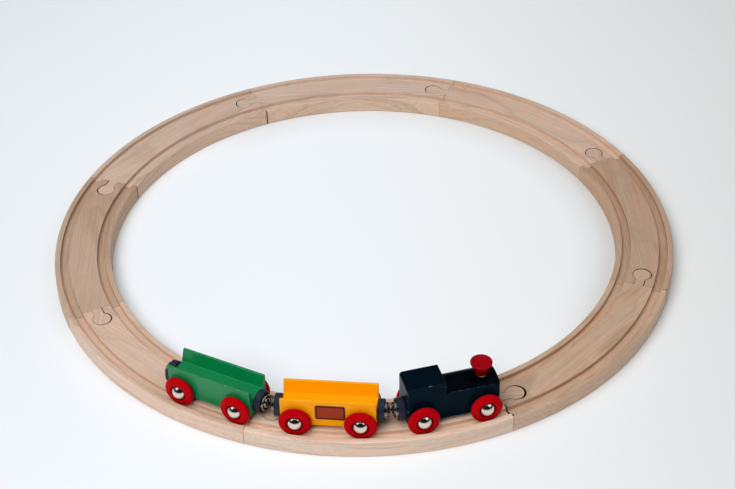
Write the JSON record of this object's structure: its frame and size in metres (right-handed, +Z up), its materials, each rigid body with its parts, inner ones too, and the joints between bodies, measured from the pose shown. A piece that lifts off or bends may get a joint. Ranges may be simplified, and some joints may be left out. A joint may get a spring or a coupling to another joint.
{
  "type": "wooden toy train on a track ring",
  "caption": "Wooden toy steam train with open wagons on magnet couplings, rolling in the grooves of a ring of interlocking curved beech track.",
  "frame": {"origin": "middle of the ring, on the surface that the track lies on", "axes": "+Z up; +X to the right of the picture's view and +Y away from it; the train stands near -Y and runs counterclockwise seen from above"},
  "size_m": [0.444, 0.444, 0.0476],
  "materials": {
    "beech": "sanded, bare",
    "loco_paint": "satin lacquer over wood",
    "yellow_paint": "satin lacquer over wood",
    "green_paint": "satin lacquer over wood",
    "funnel_paint": "gloss lacquer over wood",
    "label_print": "thin printed film, blank",
    "wheel_plastic": "moulded",
    "cap_chrome": "polished",
    "axle_steel": "drawn",
    "cup_plastic": "moulded",
    "magnet_nickel": "nickel plated",
    "pin_steel": "plated steel"
  },
  "bodies": {
    "track": {"track_section_1": "beech", "track_section_2": "beech", "track_section_3": "beech", "track_section_4": "beech", "track_section_5": "beech", "track_section_6": "beech", "track_section_7": "beech", "track_section_8": "beech"},
    "loco": {"loco_body": "loco_paint", "loco_funnel": "funnel_paint", "loco_rear_cup": "cup_plastic", "loco_rear_pin": "pin_steel"},
    "yellow_wagon": {"yellow_wagon_body": "yellow_paint", "yellow_wagon_labels": "label_print", "yellow_wagon_front_cup": "cup_plastic", "yellow_wagon_front_pin": "pin_steel", "yellow_wagon_rear_cup": "cup_plastic", "yellow_wagon_rear_pin": "pin_steel"},
    "green_wagon": {"green_wagon_body": "green_paint", "green_wagon_front_cup": "cup_plastic", "green_wagon_front_pin": "pin_steel", "green_wagon_rear_cup": "cup_plastic", "green_wagon_rear_pin": "pin_steel"},
    "loco_front_wheelset": {"loco_front_axle": "axle_steel", "loco_front_left_wheel": "wheel_plastic", "loco_front_right_wheel": "wheel_plastic", "loco_front_caps": "cap_chrome"},
    "loco_rear_wheelset": {"loco_rear_axle": "axle_steel", "loco_rear_left_wheel": "wheel_plastic", "loco_rear_right_wheel": "wheel_plastic", "loco_rear_caps": "cap_chrome"},
    "yellow_wagon_front_wheelset": {"yellow_wagon_front_axle": "axle_steel", "yellow_wagon_front_left_wheel": "wheel_plastic", "yellow_wagon_front_right_wheel": "wheel_plastic", "yellow_wagon_front_caps": "cap_chrome"},
    "yellow_wagon_rear_wheelset": {"yellow_wagon_rear_axle": "axle_steel", "yellow_wagon_rear_left_wheel": "wheel_plastic", "yellow_wagon_rear_right_wheel": "wheel_plastic", "yellow_wagon_rear_caps": "cap_chrome"},
    "green_wagon_front_wheelset": {"green_wagon_front_axle": "axle_steel", "green_wagon_front_left_wheel": "wheel_plastic", "green_wagon_front_right_wheel": "wheel_plastic", "green_wagon_front_caps": "cap_chrome"},
    "green_wagon_rear_wheelset": {"green_wagon_rear_axle": "axle_steel", "green_wagon_rear_left_wheel": "wheel_plastic", "green_wagon_rear_right_wheel": "wheel_plastic", "green_wagon_rear_caps": "cap_chrome"},
    "loco_rear_magnet": {"loco_rear_magnet": "magnet_nickel"},
    "yellow_wagon_front_magnet": {"yellow_wagon_front_magnet": "magnet_nickel"},
    "yellow_wagon_rear_magnet": {"yellow_wagon_rear_magnet": "magnet_nickel"},
    "green_wagon_front_magnet": {"green_wagon_front_magnet": "magnet_nickel"},
    "green_wagon_rear_magnet": {"green_wagon_rear_magnet": "magnet_nickel"}
  },
  "joints": [
    {"name": "train_run", "type": "hinge", "parent": "track", "child": "loco", "pos_m": [0, 0, 0], "axis": [0, 0, 1], "continuous": true},
    {"name": "yellow_wagon_run", "type": "hinge", "parent": "track", "child": "yellow_wagon", "pos_m": [0, 0, 0], "axis": [0, 0, 1], "continuous": true},
    {"name": "green_wagon_run", "type": "hinge", "parent": "track", "child": "green_wagon", "pos_m": [0, 0, 0], "axis": [0, 0, 1], "continuous": true},
    {"name": "loco_front_wheels_roll", "type": "hinge", "parent": "loco", "child": "loco_front_wheelset", "pos_m": [0.06493, -0.19128, 0.0195], "axis": [-0.2237, 0.9747, 0], "continuous": true},
    {"name": "loco_rear_wheels_roll", "type": "hinge", "parent": "loco", "child": "loco_rear_wheelset", "pos_m": [0.02497, -0.20045, 0.0195], "axis": [-0.2237, 0.9747, 0], "continuous": true},
    {"name": "yellow_wagon_front_wheels_roll", "type": "hinge", "parent": "yellow_wagon", "child": "yellow_wagon_front_wheelset", "pos_m": [-0.00978, -0.20176, 0.0195], "axis": [0.1495, 0.9888, 0], "continuous": true},
    {"name": "yellow_wagon_rear_wheels_roll", "type": "hinge", "parent": "yellow_wagon", "child": "yellow_wagon_rear_wheelset", "pos_m": [-0.05032, -0.19563, 0.0195], "axis": [0.1495, 0.9888, 0], "continuous": true},
    {"name": "green_wagon_front_wheels_roll", "type": "hinge", "parent": "green_wagon", "child": "green_wagon_front_wheelset", "pos_m": [-0.08313, -0.1841, 0.0195], "axis": [0.5019, 0.8649, 0], "continuous": true},
    {"name": "green_wagon_rear_wheels_roll", "type": "hinge", "parent": "green_wagon", "child": "green_wagon_rear_wheelset", "pos_m": [-0.11859, -0.16352, 0.0195], "axis": [0.5019, 0.8649, 0], "continuous": true},
    {"name": "loco_rear_magnet_turn", "type": "hinge", "parent": "loco", "child": "loco_rear_magnet", "pos_m": [0.01123, -0.20361, 0.0219], "axis": [-0.9747, -0.2237, 0], "continuous": true},
    {"name": "yellow_wagon_front_magnet_turn", "type": "hinge", "parent": "yellow_wagon", "child": "yellow_wagon_front_magnet", "pos_m": [0.00416, -0.20387, 0.0219], "axis": [0.9888, -0.1495, 0], "continuous": true},
    {"name": "yellow_wagon_rear_magnet_turn", "type": "hinge", "parent": "yellow_wagon", "child": "yellow_wagon_rear_magnet", "pos_m": [-0.06426, -0.19352, 0.0219], "axis": [-0.9888, 0.1495, 0], "continuous": true},
    {"name": "green_wagon_front_magnet_turn", "type": "hinge", "parent": "green_wagon", "child": "green_wagon_front_magnet", "pos_m": [-0.07093, -0.19118, 0.0219], "axis": [0.8649, -0.5019, 0], "continuous": true},
    {"name": "green_wagon_rear_magnet_turn", "type": "hinge", "parent": "green_wagon", "child": "green_wagon_rear_magnet", "pos_m": [-0.13079, -0.15645, 0.0219], "axis": [-0.8649, 0.5019, 0], "continuous": true}
  ],
  "couplings": [
    {"joint": "yellow_wagon_run", "follows": "train_run", "ratio": 1},
    {"joint": "green_wagon_run", "follows": "train_run", "ratio": 1},
    {"joint": "loco_front_wheels_roll", "follows": "train_run", "ratio": 19.423},
    {"joint": "loco_rear_wheels_roll", "follows": "train_run", "ratio": 19.423},
    {"joint": "yellow_wagon_front_wheels_roll", "follows": "train_run", "ratio": 19.423},
    {"joint": "yellow_wagon_rear_wheels_roll", "follows": "train_run", "ratio": 19.423},
    {"joint": "green_wagon_front_wheels_roll", "follows": "train_run", "ratio": 19.423},
    {"joint": "green_wagon_rear_wheels_roll", "follows": "train_run", "ratio": 19.423}
  ]
}
